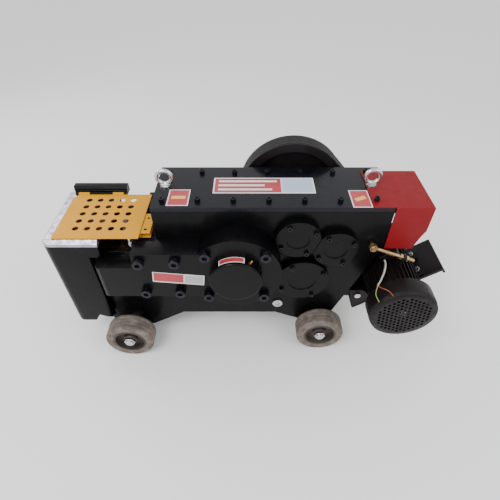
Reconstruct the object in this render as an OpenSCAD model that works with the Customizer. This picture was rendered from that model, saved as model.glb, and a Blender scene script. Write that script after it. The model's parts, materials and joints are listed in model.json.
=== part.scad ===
// Rebar cutting machine. A motor and belts turn a flywheel, three pairs of gears slow it down,
// and a crank pushes a ram whose blade shears bars against a blade fixed in the jaw head.
// X runs along the machine, Y across it and Z up, all in millimetres.
// Places are measured from the crank's axis, the middle of the body and the ground.

/* [Gearbox] */
// Crank axis to the gearbox's left wall
box_left = 266; // [262:1:274]
// Crank axis to the gearbox's right wall
box_right = 502; // [490:1:520]
// Width across the two side plates
body_w = 240; // [236:1:256]
// Thickness of a side plate
plate_t = 22; // [20:1:24]
// Height of the side plates' top edges
plate_top_z = 650; // [646:1:670]
// Thickness of the top cover
cover_t = 16; // [12:1:20]
// Height of the belly between the legs
belly_z = 140; // [130:1:150]
// Height at which the right wall starts to slant inwards
knee_z = 497; // [485:1:510]
// How far the slanted wall runs inwards for each millimetre down, as a share
slant_share = 0.36; // [0.33:0.01:0.38]
// Thickness of the bent right wall
end_wall_t = 14; // [10:1:18]

/* [Gears] */
// Height of the crank's axis
crank_z = 444; // [440:1:448]
// Throw of the crank, half the ram's stroke
crank_throw = 22; // [16:1:23]
// Module of the input pinion and the second shaft's gear
input_module = 3; // [2.9:0.1:3.1]
// Module of the second pinion and the third shaft's gear
second_module = 4; // [3.9:0.1:4.1]
// Module of the third pinion and the crank's gear
third_module = 6; // [5.9:0.1:6.1]
// Radius of a small bearing's bore
bearing_r = 25; // [22:1:27]
// Outer radius of a small bearing
bearing_out_r = 50; // [46:1:52]
// Radius of the third shaft's bearing bore
third_bearing_r = 32; // [29:1:35]
// Outer radius of the third shaft's bearing
third_bearing_out_r = 66; // [62:1:68]
// Radius of the crank's journals
journal_r = 50; // [46:1:51]
// Outer radius of the crank's bronze bushes
bush_out_r = 62; // [59:1:65]

/* [Jaw and ram] */
// Crank axis to the left end of the jaw head
head_left = 645; // [635:1:660]
// Crank axis to the jaw head's working face
mouth_left = 456; // [452:1:462]
// Crank axis to the right side of the mouth
mouth_right = 338; // [330:1:342]
// Width of the jaw head
head_w = 300; // [290:1:316]
// Height of the jaw head's steel top
head_top_z = 550; // [546:1:556]
// Height of the sill that the bars lie on
sill_z = 478; // [474:1:480]
// Width of the ram
ram_w = 136; // [124:1:140]
// Height of the ram
ram_h = 120; // [114:1:124]
// Thickness of a blade
blade_t = 30; // [24:1:34]
// Length of a blade
blade_l = 58; // [52:1:60]
// How far the front housing stands out from the side plate
housing_h = 79; // [70:1:86]
// Radius of the crank boss on the front housing
boss_r = 154; // [148:1:155]

/* [Guard] */
// Length of the mouth guard
guard_l = 285; // [275:1:290]
// Depth of the mouth guard from its front edge to its hinge
guard_d = 252; // [244:1:254]
// Thickness of the guard's sheet
guard_t = 3; // [2:0.5:4]
// Pitch of the guard's holes
guard_pitch = 40; // [36:1:44]
// Radius of a hole in the guard
guard_hole_r = 10.5; // [8:0.5:13]

/* [Drive] */
// Radius of the flywheel
flywheel_r = 194; // [188:1:196]
// Width of the flywheel
flywheel_w = 66; // [64:1:76]
// Radius of the motor's pulley
pulley_r = 60; // [54:1:66]
// Height of the motor's axis
motor_z = 347; // [340:1:352]
// Crank axis to the motor's axis
motor_x = 563; // [558:1:572]
// Slope of the motor plate in degrees
plate_angle = 37; // [34:1:39]
// Radius over the motor's cooling fins
fin_r = 92; // [86:1:93]
// Radius of the fan cover
fan_cover_r = 113; // [108:1:116]
// Length of the motor plate
motor_plate_l = 374; // [360:1:384]

/* [Wheels] */
// Radius of a wheel
wheel_r = 92.5; // [88:0.5:95]
// Width of a wheel
wheel_w = 68; // [62:1:72]
// Crank axis to the left axle
left_axle = 426; // [420:1:432]
// Crank axis to the right axle
right_axle = 325; // [318:1:330]
// Radius of an axle
axle_r = 15; // [13:0.5:17]

/* [Hidden] */
$fn = 64;

// Clearances and the overrun of cuts
fit_gap = 0.05;
seat_gap = 0.2;
slide_gap = 0.1;
over = 1;

// Planes across the body, with the front at negative Y
body_y = body_w / 2;
inner_y = body_y - plate_t;
head_y = head_w / 2;
housing_y = body_y + housing_h;

// Side plates: legs, sill and step
leg_z = 62;
leg_toe_z = 99;
left_leg_in = 222;
left_leg_toe = 352;
left_leg_out = 505;
head_leg_x = 518;
head_rebate_x = 498;
head_bottom_z = 126;
right_leg_in = 148;
right_leg_mid = 242;
right_leg_toe = 268;
step_z = 536;
axle_z = wheel_r;
function slant_x(z) = box_right - max(0, knee_z - z) * slant_share;

// Gear train: teeth, face widths and shaft places
input_teeth = 23;
second_gear_teeth = 69;
second_teeth = 23;
third_gear_teeth = 68;
third_teeth = 20;
crank_teeth = 64;
third_angle = -20.7;
second_angle = 56.8;
input_angle = 160.9;
pressure_angle = 20;
flank_play = 0.12;
addendum_share = 1;
dedendum_share = 1.25;
third_centres = third_module * (third_teeth + crank_teeth) / 2;
second_centres = second_module * (second_teeth + third_gear_teeth) / 2;
input_centres = input_module * (input_teeth + second_gear_teeth) / 2;
function polar(r, a) = [r * cos(a), r * sin(a)];
crank_p = [0, crank_z];
third_p = crank_p + polar(third_centres, third_angle);
second_p = third_p + polar(second_centres, second_angle);
input_p = second_p + polar(input_centres, input_angle);
motor_p = [motor_x, motor_z];
crank_phase = 0;
third_phase = mesh_phase(crank_phase, crank_teeth, third_teeth, third_angle);
third_gear_phase = 0;
second_phase = mesh_phase(third_gear_phase, third_gear_teeth, second_teeth, second_angle);
second_gear_phase = 0;
input_phase = mesh_phase(second_gear_phase, second_gear_teeth, input_teeth, input_angle);
crank_gear_y = [34, 74];
third_pinion_y = [33, 75];
third_gear_y = [-92, -52];
second_pinion_y = [-94, -50];
second_gear_y = [-10, 22];
input_pinion_y = [-12, 24];
shaft_step = 3;
shaft_end = 2;
gear_web_t = 14;
gear_rim_share = 0.8;
gear_hub_wall = 18;
third_body_step = 6;
crank_seat_step = 5;

// Crank, connecting rod and ram, drawn at the end of the ram's return
ecc_r = journal_r + crank_throw + shaft_end;
ecc_p = crank_p + [crank_throw, 0];
ecc_half = 32;
rod_half = 30;
rod_web_half = 24;
rod_l = 244;
rod_ring = 24;
rod_eye_r = 32;
wrist_r = 14;
wrist_half = 42;
wrist_p = ecc_p - [rod_l, 0];
stroke = 2 * crank_throw;
blade_lap = 2;
blade_gap = 0.25;
blade_proud = 4;
blade_overhang = 15;
ram_gear_gap = 5;
fixed_edge_x = -mouth_left + blade_proud;
moving_edge_x = fixed_edge_x - blade_lap + stroke;
ram_front_x = moving_edge_x + blade_overhang;
ram_rear_x = -third_module * (crank_teeth / 2 + addendum_share) - ram_gear_gap;
ram_low_z = crank_z - ram_h / 2;
ram_top_z = crank_z + ram_h / 2;
blade_low_z = sill_z - 8;
blade_h = 56;
post_l = 40;
post_t = 38;
fork_gap = 4;
blade_screw_r = 8;
blade_screw_head_r = 12;
blade_screw_head_h = 14;
blade_screw_l = 46;

// Ram guide: bed, roof and bronze liners
guide_low_z = 340;
liner_t = 6;
window_extra_z = 8;

// Jaw head and its steel top
head_corner_r = 30;
head_plate_t = 24;
head_edge = 14;
head_left_foot = 632;
head_low_in = 570;
head_arch_x = 548;
head_arch_z = 160;
head_foot_z = 147;
cavity_wall = 42;
cavity_half = 62;
cavity_top_z = 410;
pocket_l = blade_l + 2;

// Housings and their bolts
housing_left = 470;
housing_low_z = 336;
housing_top_z = 539;
housing_edge_r = 20;
housing_pocket = [[-440, -170], [398, 468]];
housing_wall = 26;
rear_housing_h = 30;
head_relief = 1;
rear_housing_right = 180;
slide_bolts = [[-315, 507], [-197, 511], [-313, 366], [-195, 366]];
boss_bolt_pitch = 193;
big_screw_r = 12;
big_head_r = 18;
big_head_h = 20;
big_screw_in = 16;
crank_cap_r = 88;
crank_cap_h = 35;
cap_spigot = 9;
cap_bore_share = 0.7;
bush_in_y = 86;
bush_boss_r = 80;
nipple_angle = 58;
nipple_r = 5;
nipple_h = 12;
nipple_y_in = 18;

// Bearing caps and their screws
cap_margin = 25;
third_cap_margin = 29;
cap_pcd_margin = 13.5;
third_cap_pcd_margin = 16.5;
front_cap_h = 26;
rear_cap_h = 14;
cap_split_gap = 1;
cap_dish = 4;
cap_turn = 30;
cap_screw_r = 5;
cap_head_r = 8;
cap_head_h = 10;
cap_screw_in = 18;
seal_gap = 1;

// Top cover, hood and eye bolts
cover_rows_y = 82;
cover_cols = 7;
cover_first_x = -234;
cover_last_x = 449;
cover_screw_r = 6;
cover_head_r = 9;
cover_head_h = 12;
cover_screw_l = 32;
hood_t = 3;
hood_flange_x = 433;
hood_right = 623;
hood_front_y = -125;
hood_back_y = 91;
hood_low_z = 498;
hood_side_z = 576;
hood_cut = [[611, 548], [596, 498]];
eye_ring_r = 24;
eye_wire_r = 7;
eye_collar_r = 18;
eye_collar_h = 8;
eye_shank_r = 8;

// Drain plug
plug_p = [155, 204];
plug_r = 14;
plug_head_r = 19.5;
plug_head_h = 9;
plug_l = 18;

// Flywheel, belts and pulley
flywheel_y = body_y + rear_cap_h + 4;
belt_count = 3;
belt_pitch = 19;
belt_w = 17;
belt_bottom_w = 9.6;
belt_h = 10;
belt_proud = 0.5;
belt_gap = 0.35;
groove_floor = 2;
flywheel_rim = 32;
flywheel_web = 18;
flywheel_hub_r = 52;
flywheel_hub_out = 4;
pulley_hub_r = 30;
shaft_nut_r = 27;
shaft_nut_h = 16;
shaft_thread_r = 18;
shaft_thread_l = 22;
motor_shaft_r = 14;

// Motor
motor_axis_h = 96;
stator_y = [-222, 90];
stator_core_r = 82;
stator_bore_r = 58;
fin_count = 36;
fin_t = 3;
shield_t = 18;
shield_step = 4;
shield_boss_r = 34;
fan_flange_t = 10;
fan_cover_y = [-294, -226];
fan_cover_t = 2;
fan_hole_r = 5;
fan_hole_pitch = 15.5;
fan_hole_rings = 6;
fan_y = [-284, -246];
fan_hub_r = 24;
fan_r = 92;
fan_blades = 7;
fan_blade_t = 4;
rotor_r = 54;
rotor_y = [-160, 30];
foot_u = 88;
foot_in = 62;
foot_out = 104;
foot_t = 12;
foot_web_t = 12;
foot_y = [[-90, -50], [-10, 30]];
foot_screw_r = 6;
lug_w = 26;
lug_l = 48;
lug_t = 12;
lug_along = 113;
box_u = [14, 70];
box_top_v = 116;
box_y = [-118, -36];
box_lid_t = 5;
gland_r = 8;
gland_h = 12;
gland_u = 23;
gland_v = 108;

// Motor plate, its pivot and the tension rod
motor_plate_t = 12;
motor_plate_y = [-99, 62];
motor_plate_end_u = 172;
lip_h = 26;
lip_t = 8;
cheek_t = 10;
pivot_p = [470, 224];
cheek_top_z = 250;
pivot_r = 8;
pivot_head_r = 13;
pivot_head_h = 9;
wall_lug_t = 14;
wall_lug_r = 18;
rod_y = -140;
rod_start = [459, 516];
rod_end_x = 611;
rod_slope = -21.9;
rod_r = 6;
rod_eye_out = 13;
rod_eye_t = 14;
rod_nut_r = 11;
rod_nut_h = 10;
rod_stud_r = 7;

// Mouth guard, its hinge, its rest and its latch pin
guard_left = 603;
guard_lift = 7;
guard_z = head_top_z + guard_lift;
guard_front_y = -142;
guard_axis_y = guard_front_y + guard_d;
guard_axis_z = guard_z + guard_t / 2;
guard_holes = 5;
guard_grid = [-459, -12];
guard_corner = 24;
guard_lip_gap = 0.5;
knuckle_r = 6;
hinge_pin_r = 3;
knuckle_l = 40;
hinge_bar = [[-609, -412], [118, 150], 584];
hinge_bar_edge = 9;
hinge_rib_r = 2.5;
hinge_lug_t = 12;
rest_x = [-322, -286];
rest_y = [-112, -8];
latch_p = [-348, -147];
latch_r = 5.5;
latch_h = 34;
latch_knob_r = 7.5;
latch_knob_h = 12;

// Wheels
left_wheel_y = 163;
right_wheel_y = 134;
tyre_t = 30;
tyre_edge = 8;
hub_web_t = 16;
hub_boss_r = 26;
hub_recess = 10;
rim_wall = 7;
axle_out = 8;
axle_collar_r = 22;
axle_nut_r = 22;
axle_nut_h = 12;

// The motor's loose lead: sheath and two bare-ended cores, places in millimetres
lead_r = 3;
core_r = 1.2;
lead_route = [
    [516, -130, 447], [516, -138, 447], [515, -147, 447], [512, -158, 445], [508, -170, 442],
    [502, -183, 436], [494, -197, 430], [486, -210, 426], [479, -219, 423], [475, -226, 422]
];
green_route = [
    [475, -226, 422], [471, -234, 418], [467, -242, 415], [464, -252, 413], [463, -262, 412],
    [464, -275, 413], [466, -288, 414]
];
red_route = [
    [475, -226, 422], [477, -236, 428], [482, -247, 434], [488, -258, 441], [495, -269, 445],
    [502, -288, 447]
];
lead_sides = 8;

// The part's origin is the middle of its outline on the ground
motor_right = motor_x + motor_plate_end_u * cos(plate_angle)
    + (motor_axis_h + lip_h) * sin(plate_angle);
mid_x = (motor_right - head_left) / 2;
rear_reach = left_wheel_y + wheel_w + axle_out;
mid_y = (rear_reach + fan_cover_y[0]) / 2;
module placed() translate([-mid_x, -mid_y, 0]) children();

// A box between two corners on each axis
module block(x, y, z) translate([x[0], y[0], z[0]])
    cube([x[1] - x[0], y[1] - y[0], z[1] - z[0]]);

// An outline in X and Z drawn across the body from y[0] to y[1]
module across(y) translate([0, y[1], 0]) rotate([90, 0, 0]) linear_extrude(y[1] - y[0]) children();

// A round bar across the body on the axis through p
module bar(p, r, y) translate([p[0], y[0], p[1]]) rotate([-90, 0, 0]) cylinder(r = r, h = y[1] - y[0]);

// A profile of radius and Y turned round the axis through p
module turned(p) translate([p[0], 0, p[1]]) rotate([-90, 0, 0]) rotate_extrude() children();

// The motor's own frame: X along its plate, Z square to it
module motor_space() translate([motor_x, 0, motor_z]) rotate([0, -plate_angle, 0]) children();
module in_body() rotate([0, plate_angle, 0]) translate([-motor_x, 0, -motor_z]) children();

// A socket screw along Z with the underside of its head at zero
module socket_screw(head_r, head_h, shank_r, shank_l) difference() {
    union() {
        cylinder(r = head_r, h = head_h);
        translate([0, 0, -shank_l]) cylinder(r = shank_r, h = shank_l);
    }
    translate([0, 0, head_h / 2]) cylinder(r = head_r / 2, h = head_h, $fn = 6);
}

// A hexagon nut or head along Z
module hexagon(r, h) cylinder(r = r, h = h, $fn = 6);

// Spur gear outline: each tooth has chords of an involute from root to pitch circle to tip
function inv(a) = tan(a) * 180 / PI - a;
function tooth_half(m, z, r) = 90 / z - flank_play * 180 / (PI * m * z / 2) + inv(pressure_angle)
    - inv(acos(min(1, m * z / 2 * cos(pressure_angle) / r)));
function gear_points(m, z, phase) = [
    for (i = [0:z - 1])
        let (mid = phase + i * 360 / z, p = m * z / 2, root = p - m * dedendum_share, tip = p + m * addendum_share)
            for (s = [
                [root, -tooth_half(m, z, root)], [p, -tooth_half(m, z, p)], [tip, -tooth_half(m, z, tip)],
                [tip, tooth_half(m, z, tip)], [p, tooth_half(m, z, p)], [root, tooth_half(m, z, root)]
            ]) polar(s[0], mid + s[1])
];
// Phase of a gear of zb teeth in mesh with one of za teeth, at the angle from the first to the second
function mesh_phase(phase, za, zb, angle) = angle + 180 - (phase - angle) * za / zb + 180 / zb;

module gear_body(m, z, phase, p, y) translate([p[0], 0, p[1]]) across(y) polygon(gear_points(m, z, phase));

// A gear with a thinner web between its rim and its hub
module webbed_gear(m, z, phase, p, y, bore) difference() {
    gear_body(m, z, phase, p, y);
    bar(p, bore + fit_gap, [y[0] - over, y[1] + over]);
    for (side = [[y[0] - over, (y[0] + y[1] - gear_web_t) / 2], [(y[0] + y[1] + gear_web_t) / 2, y[1] + over]])
        difference() {
            bar(p, m * z / 2 * gear_rim_share, side);
            bar(p, bore + gear_hub_wall, [side[0] - over, side[1] + over]);
        }
}

// Side plates
module side_outline() polygon([
    [-box_left, plate_top_z], [box_right, plate_top_z], [box_right, knee_z], [slant_x(leg_z), leg_z],
    [right_leg_toe, leg_z], [right_leg_mid, leg_toe_z], [right_leg_in, belly_z], [-left_leg_in, belly_z],
    [-left_leg_toe, leg_z], [-left_leg_out, leg_z], [-head_leg_x, head_bottom_z],
    [-head_rebate_x, head_bottom_z], [-head_rebate_x, sill_z], [-mouth_right, sill_z],
    [-mouth_right, step_z], [-box_left, step_z]
]);
function axle_points() = [[-left_axle, axle_z], [right_axle, axle_z]];
// Bearings: place, bore radius and outer radius
bearing_list = [
    [input_p, bearing_r, bearing_out_r], [second_p, bearing_r, bearing_out_r],
    [third_p, third_bearing_r, third_bearing_out_r]
];
function cap_points(p, pcd) = [for (i = [0:3]) p + polar(pcd / 2, cap_turn + 90 * i)];
cap_pcd = 2 * (bearing_out_r + cap_pcd_margin);
third_cap_pcd = 2 * (third_bearing_out_r + third_cap_pcd_margin);
function all_cap_points() = [
    each cap_points(input_p, cap_pcd), each cap_points(second_p, cap_pcd),
    each cap_points(third_p, third_cap_pcd)
];
module plate_holes(y) {
    for (b = bearing_list) bar(b[0], b[2] + fit_gap, y);
    bar(crank_p, bush_out_r + fit_gap, y);
    for (p = axle_points()) bar(p, axle_r + seat_gap, y);
}
// Rails inside the side plates' top edges, which the cover's screws go into
rail_w = 21;
rail_h = 24;
rail_gap_x = 90;
rail_left = -box_left + plate_t;
rail_right = box_right - end_wall_t;
module rail(x) block(x, [inner_y - rail_w, inner_y], [plate_top_z - rail_h, plate_top_z]);
module cover_screw_holes() for (p = cover_points()) translate([p[0], p[1], plate_top_z - rail_h - over])
    cylinder(r = cover_screw_r + seat_gap, h = rail_h + 2 * over);
module front_side_plate() color("#16161a") difference() {
    union() {
        across([-body_y, -inner_y]) side_outline();
        mirror([0, 1, 0]) rail([rail_left, rail_right]);
    }
    cover_screw_holes();
    plate_holes([-body_y - over, -inner_y + over]);
    for (p = all_cap_points()) bar(p, cap_screw_r + seat_gap, [-body_y - over, -body_y + cap_screw_in + over]);
    for (p = front_bolt_points()) bar(p, big_screw_r + seat_gap, [-body_y - over, -body_y + big_screw_in + over]);
    bar(plug_p, plug_r + seat_gap, [-body_y - over, -inner_y + over]);
    bar(rod_start, rod_stud_r + seat_gap, [-body_y - over, -inner_y + over]);
}
module rear_side_plate() color("#16161a") difference() {
    union() {
        across([inner_y, body_y]) side_outline();
        bar(crank_p, bush_boss_r, [bush_in_y, inner_y]);
        rail([rail_left, -rail_gap_x]);
        rail([rail_gap_x, rail_right]);
    }
    cover_screw_holes();
    plate_holes([bush_in_y - over, body_y + over]);
    for (p = all_cap_points()) bar(p, cap_screw_r + seat_gap, [body_y - cap_screw_in - over, body_y + over]);
    for (p = slide_bolts) bar(p, big_screw_r + seat_gap, [body_y - big_screw_in - over, body_y + over]);
}

// Plates between the side plates
floor_t = 12;
wall_foot_x = slant_x(belly_z) - end_wall_t - 3 * floor_t;
module floor_plate() color("#1a1a1e")
    block([-box_left + plate_t, wall_foot_x], [-inner_y, inner_y], [belly_z, belly_z + floor_t]);
module slant_wall() color("#1a1a1e") difference() {
    union() {
        across([-inner_y, inner_y]) polygon([
            [box_right, plate_top_z], [box_right, knee_z], [slant_x(belly_z), belly_z],
            [wall_foot_x, belly_z], [wall_foot_x, belly_z + floor_t],
            [slant_x(belly_z + floor_t) - end_wall_t, belly_z + floor_t],
            [box_right - end_wall_t, knee_z], [box_right - end_wall_t, plate_top_z]
        ]);
        for (y = wall_lug_list()) across(y) difference() {
            union() {
                translate(pivot_p) circle(wall_lug_r);
                polygon([
                    [slant_x(pivot_p[1] + wall_lug_r) - end_wall_t / 2, pivot_p[1] + wall_lug_r],
                    pivot_p + [0, wall_lug_r], pivot_p - [0, wall_lug_r],
                    [slant_x(pivot_p[1] - wall_lug_r) - end_wall_t / 2, pivot_p[1] - wall_lug_r]
                ]);
            }
            translate(pivot_p) circle(pivot_r + seat_gap);
        }
    }
}
function wall_lug_list() = [
    [motor_plate_y[0] + cheek_t + slide_gap, motor_plate_y[0] + cheek_t + wall_lug_t],
    [motor_plate_y[1] - cheek_t - wall_lug_t, motor_plate_y[1] - cheek_t - slide_gap]
];

// Ram guide: the gearbox's left wall, the guide block and the bed under the mouth, in one casting
guide_y = ram_w / 2 + slide_gap + liner_t;
guide_z = [ram_low_z - slide_gap - liner_t, ram_top_z + slide_gap + liner_t];
module ram_guide() color("#1a1a1e") difference() {
    across([-inner_y, inner_y]) polygon([
        [-mouth_left, guide_low_z], [-box_left, guide_low_z], [-box_left, belly_z],
        [-box_left + plate_t, belly_z], [-box_left + plate_t, plate_top_z], [-box_left, plate_top_z],
        [-box_left, step_z], [-mouth_right, step_z], [-mouth_right, guide_z[0]], [-mouth_left, guide_z[0]]
    ]);
    block([-mouth_right - over, -box_left + plate_t + over], [-guide_y, guide_y], guide_z);
    block([-box_left - over, -box_left + plate_t + over], [-rod_half - fork_gap, rod_half + fork_gap],
        [guide_z[0] - window_extra_z, guide_z[1] + window_extra_z]);
}
module ram_liners() color("#b08a3c") {
    liner_x = [-mouth_right, -box_left + plate_t];
    for (s = [-1, 1]) {
        side = [s * (ram_w / 2 + slide_gap), s * guide_y];
        block(liner_x, [min(side), max(side)],
            [guide_z[0] + liner_t + slide_gap, guide_z[1] - liner_t - slide_gap]);
    }
    block(liner_x, [-guide_y, guide_y], [guide_z[1] - liner_t, guide_z[1]]);
    block([-mouth_left, -box_left + plate_t], [-guide_y, guide_y], [guide_z[0], guide_z[0] + liner_t]);
}

// Top cover and its socket screws
function cover_points() = [
    for (i = [0:cover_cols - 1]) for (s = [-1, 1])
        [cover_first_x + i * (cover_last_x - cover_first_x) / (cover_cols - 1), s * cover_rows_y]
];
function eye_points() = [[cover_first_x, 0], [cover_last_x, 0]];
cover_top_z = plate_top_z + cover_t;
function on_flange(x) = x > hood_flange_x ? hood_t : 0;
module top_cover() color("#1b1c24") difference() {
    block([-box_left, box_right], [-body_y, body_y], [plate_top_z, cover_top_z]);
    for (p = cover_points()) translate([p[0], p[1], plate_top_z - over])
        cylinder(r = cover_screw_r + seat_gap, h = cover_t + 2 * over);
    for (p = eye_points()) translate([p[0], p[1], plate_top_z - over])
        cylinder(r = eye_shank_r + seat_gap, h = cover_t + 2 * over);
}
module cover_bolts() color("#3a3a40") for (p = cover_points())
    translate([p[0], p[1], cover_top_z + on_flange(p[0])])
        socket_screw(cover_head_r, cover_head_h, cover_screw_r, cover_screw_l);
module eye_bolts() color("#c9c9cc") for (p = eye_points())
    translate([p[0], p[1], cover_top_z + on_flange(p[0])]) {
        cylinder(r = eye_collar_r, h = eye_collar_h);
        translate([0, 0, -cover_t - on_flange(p[0])]) cylinder(r = eye_shank_r, h = cover_t + on_flange(p[0]));
        translate([0, 0, eye_collar_h / 2 + eye_ring_r + eye_wire_r]) rotate([90, 0, 0])
            rotate_extrude() translate([eye_ring_r, 0]) circle(eye_wire_r);
    }

// Sheet hood over the gearbox's right end
module rear_hood() color("#a5313f") difference() {
    union() {
        block([hood_flange_x, box_right], [-body_y, hood_back_y], [cover_top_z, cover_top_z + hood_t]);
        across([hood_front_y, hood_back_y]) polygon([
            [box_right, cover_top_z + hood_t], [hood_right, cover_top_z + hood_t], [hood_right, hood_side_z],
            hood_cut[0], hood_cut[1], [box_right, hood_low_z]
        ]);
    }
    across([hood_front_y + hood_t, hood_back_y - hood_t]) polygon([
        [box_right - over, cover_top_z], [hood_right - hood_t, cover_top_z], [hood_right - hood_t, hood_side_z],
        hood_cut[0] - [hood_t, 0], hood_cut[1] - [hood_t, over], [box_right - over, hood_low_z - over]
    ]);
    for (p = cover_points()) translate([p[0], p[1], cover_top_z - over])
        cylinder(r = cover_screw_r + seat_gap, h = hood_t + 2 * over);
    for (p = eye_points()) translate([p[0], p[1], cover_top_z - over])
        cylinder(r = eye_shank_r + seat_gap, h = hood_t + 2 * over);
}

// Jaw head: a thick casting with rounded corners, rebated for the side plates
module head_plan() {
    translate([-head_left + head_corner_r, -head_y])
        square([head_left - mouth_left - head_corner_r, head_w]);
    translate([-head_left, -head_y + head_corner_r]) square([2 * head_corner_r, head_w - 2 * head_corner_r]);
    for (s = [-1, 1]) translate([-head_left + head_corner_r, s * (head_y - head_corner_r)]) circle(head_corner_r);
}
module head_cuts() {
    block([fixed_edge_x - pocket_l, -mouth_left + over], [0, blade_t + blade_gap], [blade_low_z, head_top_z + over]);
    translate([fixed_edge_x - blade_l / 2, 0, blade_low_z + blade_h / 2]) rotate([-90, 0, 0])
        cylinder(r = blade_screw_r + seat_gap, h = blade_screw_l + blade_gap);
}
module jaw_head() color("#141417") difference() {
    intersection() {
        across([-head_y, head_y]) polygon([
            [-head_left, head_top_z - head_plate_t], [-mouth_left, head_top_z - head_plate_t],
            [-mouth_left, head_foot_z], [-head_leg_x, head_foot_z], [-head_arch_x, head_arch_z],
            [-head_low_in, head_bottom_z], [-head_left_foot, head_bottom_z], [-head_left, head_foot_z]
        ]);
        linear_extrude(head_top_z) head_plan();
    }
    for (s = [-1, 1]) block(
        [-head_rebate_x - seat_gap, -mouth_left + over],
        [min(s * (inner_y - seat_gap), s * (head_y + over)), max(s * (inner_y - seat_gap), s * (head_y + over))],
        [belly_z - over, sill_z + seat_gap]
    );
    block([-head_left + cavity_wall, -head_rebate_x - cavity_wall / 2], [-cavity_half, cavity_half],
        [head_bottom_z - over, cavity_top_z]);
    head_cuts();
}
head_plate_z = head_top_z - head_plate_t;
module head_plate() color("#c4bfcf") difference() {
    intersection() {
        across([-head_y, head_y]) polygon([
            [-head_left, head_plate_z], [-head_left, head_top_z - head_edge], [-head_left + head_edge, head_top_z],
            [-mouth_left, head_top_z], [-mouth_left, head_plate_z]
        ]);
        translate([-head_left, 0, 0]) rotate([90, 0, 90]) linear_extrude(head_left - mouth_left) polygon([
            [-head_y, head_plate_z], [-head_y, head_top_z - head_edge], [-head_y + head_edge, head_top_z],
            [head_y - head_edge, head_top_z], [head_y, head_top_z - head_edge], [head_y, head_plate_z]
        ]);
        linear_extrude(head_top_z) head_plan();
    }
    head_cuts();
}

// Front housing: slide cover and crank boss in one casting
function boss_points() = [for (i = [0:3]) crank_p + polar(boss_bolt_pitch / sqrt(2), 45 + 90 * i)];
function front_bolt_points() = concat(slide_bolts, boss_points());
module slide_outline(left) polygon([
    [-left, housing_low_z], [0, housing_low_z], [0, housing_top_z], [-mouth_right, housing_top_z],
    [-mouth_right, sill_z], [-mouth_left + head_relief, sill_z],
    [-mouth_left + head_relief, sill_z - head_relief], [-left, sill_z - head_relief]
]);
module front_housing() color("#17171b") difference() {
    union() {
        across([-housing_y, -body_y]) slide_outline(housing_left - housing_edge_r);
        across([-housing_y + housing_edge_r, -body_y]) slide_outline(housing_left);
        translate([-housing_left + housing_edge_r, -housing_y + housing_edge_r, housing_low_z])
            cylinder(r = housing_edge_r, h = sill_z - head_relief - housing_low_z);
        bar(crank_p, boss_r, [-housing_y, -body_y]);
    }
    block(housing_pocket[0], [-housing_y + housing_wall, -body_y + over], housing_pocket[1]);
    bar(crank_p, bush_out_r + fit_gap, [-housing_y - over, -body_y + over]);
    for (p = front_bolt_points()) bar(p, big_screw_r + seat_gap, [-housing_y - over, -body_y + over]);
}
module rear_housing() color("#17171b") difference() {
    across([body_y, body_y + rear_housing_h]) polygon([
        [-housing_left, housing_low_z], [-rear_housing_right, housing_low_z], [-rear_housing_right, housing_top_z],
        [-mouth_right, housing_top_z], [-mouth_right, sill_z], [-housing_left, sill_z]
    ]);
    for (p = slide_bolts) bar(p, big_screw_r + seat_gap, [body_y - over, body_y + rear_housing_h + over]);
}
module housing_bolts() color("#2a2a2e") {
    for (p = front_bolt_points()) translate([p[0], -housing_y, p[1]]) rotate([90, 0, 0])
        socket_screw(big_head_r, big_head_h, big_screw_r, housing_h + big_screw_in);
    for (p = slide_bolts) translate([p[0], body_y + rear_housing_h, p[1]]) rotate([-90, 0, 0])
        socket_screw(big_head_r, big_head_h, big_screw_r, rear_housing_h + big_screw_in);
}
module crank_cap() color("#1c1c21") turned(crank_p) polygon([
    [0, -housing_y - crank_cap_h], [crank_cap_r - cap_dish, -housing_y - crank_cap_h],
    [crank_cap_r, -housing_y - crank_cap_h + cap_dish], [crank_cap_r, -housing_y],
    [bush_out_r - fit_gap, -housing_y], [bush_out_r - fit_gap, -housing_y + cap_spigot],
    [bush_out_r * cap_bore_share, -housing_y + cap_spigot], [bush_out_r * cap_bore_share, -housing_y - cap_spigot],
    [0, -housing_y - cap_spigot]
]);
module grease_nipple() color("#c79a3b")
    translate([crank_cap_r * cos(nipple_angle), -housing_y - nipple_y_in, crank_z + crank_cap_r * sin(nipple_angle)])
        rotate([0, 90 - nipple_angle, 0]) {
            cylinder(r = nipple_r, h = nipple_h / 2, $fn = 6);
            cylinder(r = nipple_r / 2, h = nipple_h);
            translate([0, 0, nipple_h]) sphere(nipple_r * cap_bore_share);
        }
front_bush_y = [-housing_y + cap_spigot + slide_gap, -inner_y];
module crank_bushes() color("#b08a3c") {
    for (y = [front_bush_y, [bush_in_y, body_y]]) difference() {
        bar(crank_p, bush_out_r, y);
        bar(crank_p, journal_r + fit_gap, [y[0] - over, y[1] + over]);
    }
}
module crankshaft() color("#8b8b90") {
    bar(crank_p, journal_r, [-housing_y + cap_spigot + shaft_end, -ecc_half]);
    bar(ecc_p, ecc_r, [-ecc_half, ecc_half]);
    bar(crank_p, journal_r + crank_seat_step, [ecc_half, crank_gear_y[1]]);
    bar(crank_p, journal_r, [crank_gear_y[1], body_y - shaft_end]);
}
module crank_gear() color("#6f6f75")
    webbed_gear(third_module, crank_teeth, crank_phase, crank_p, crank_gear_y, journal_r + crank_seat_step);

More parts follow.
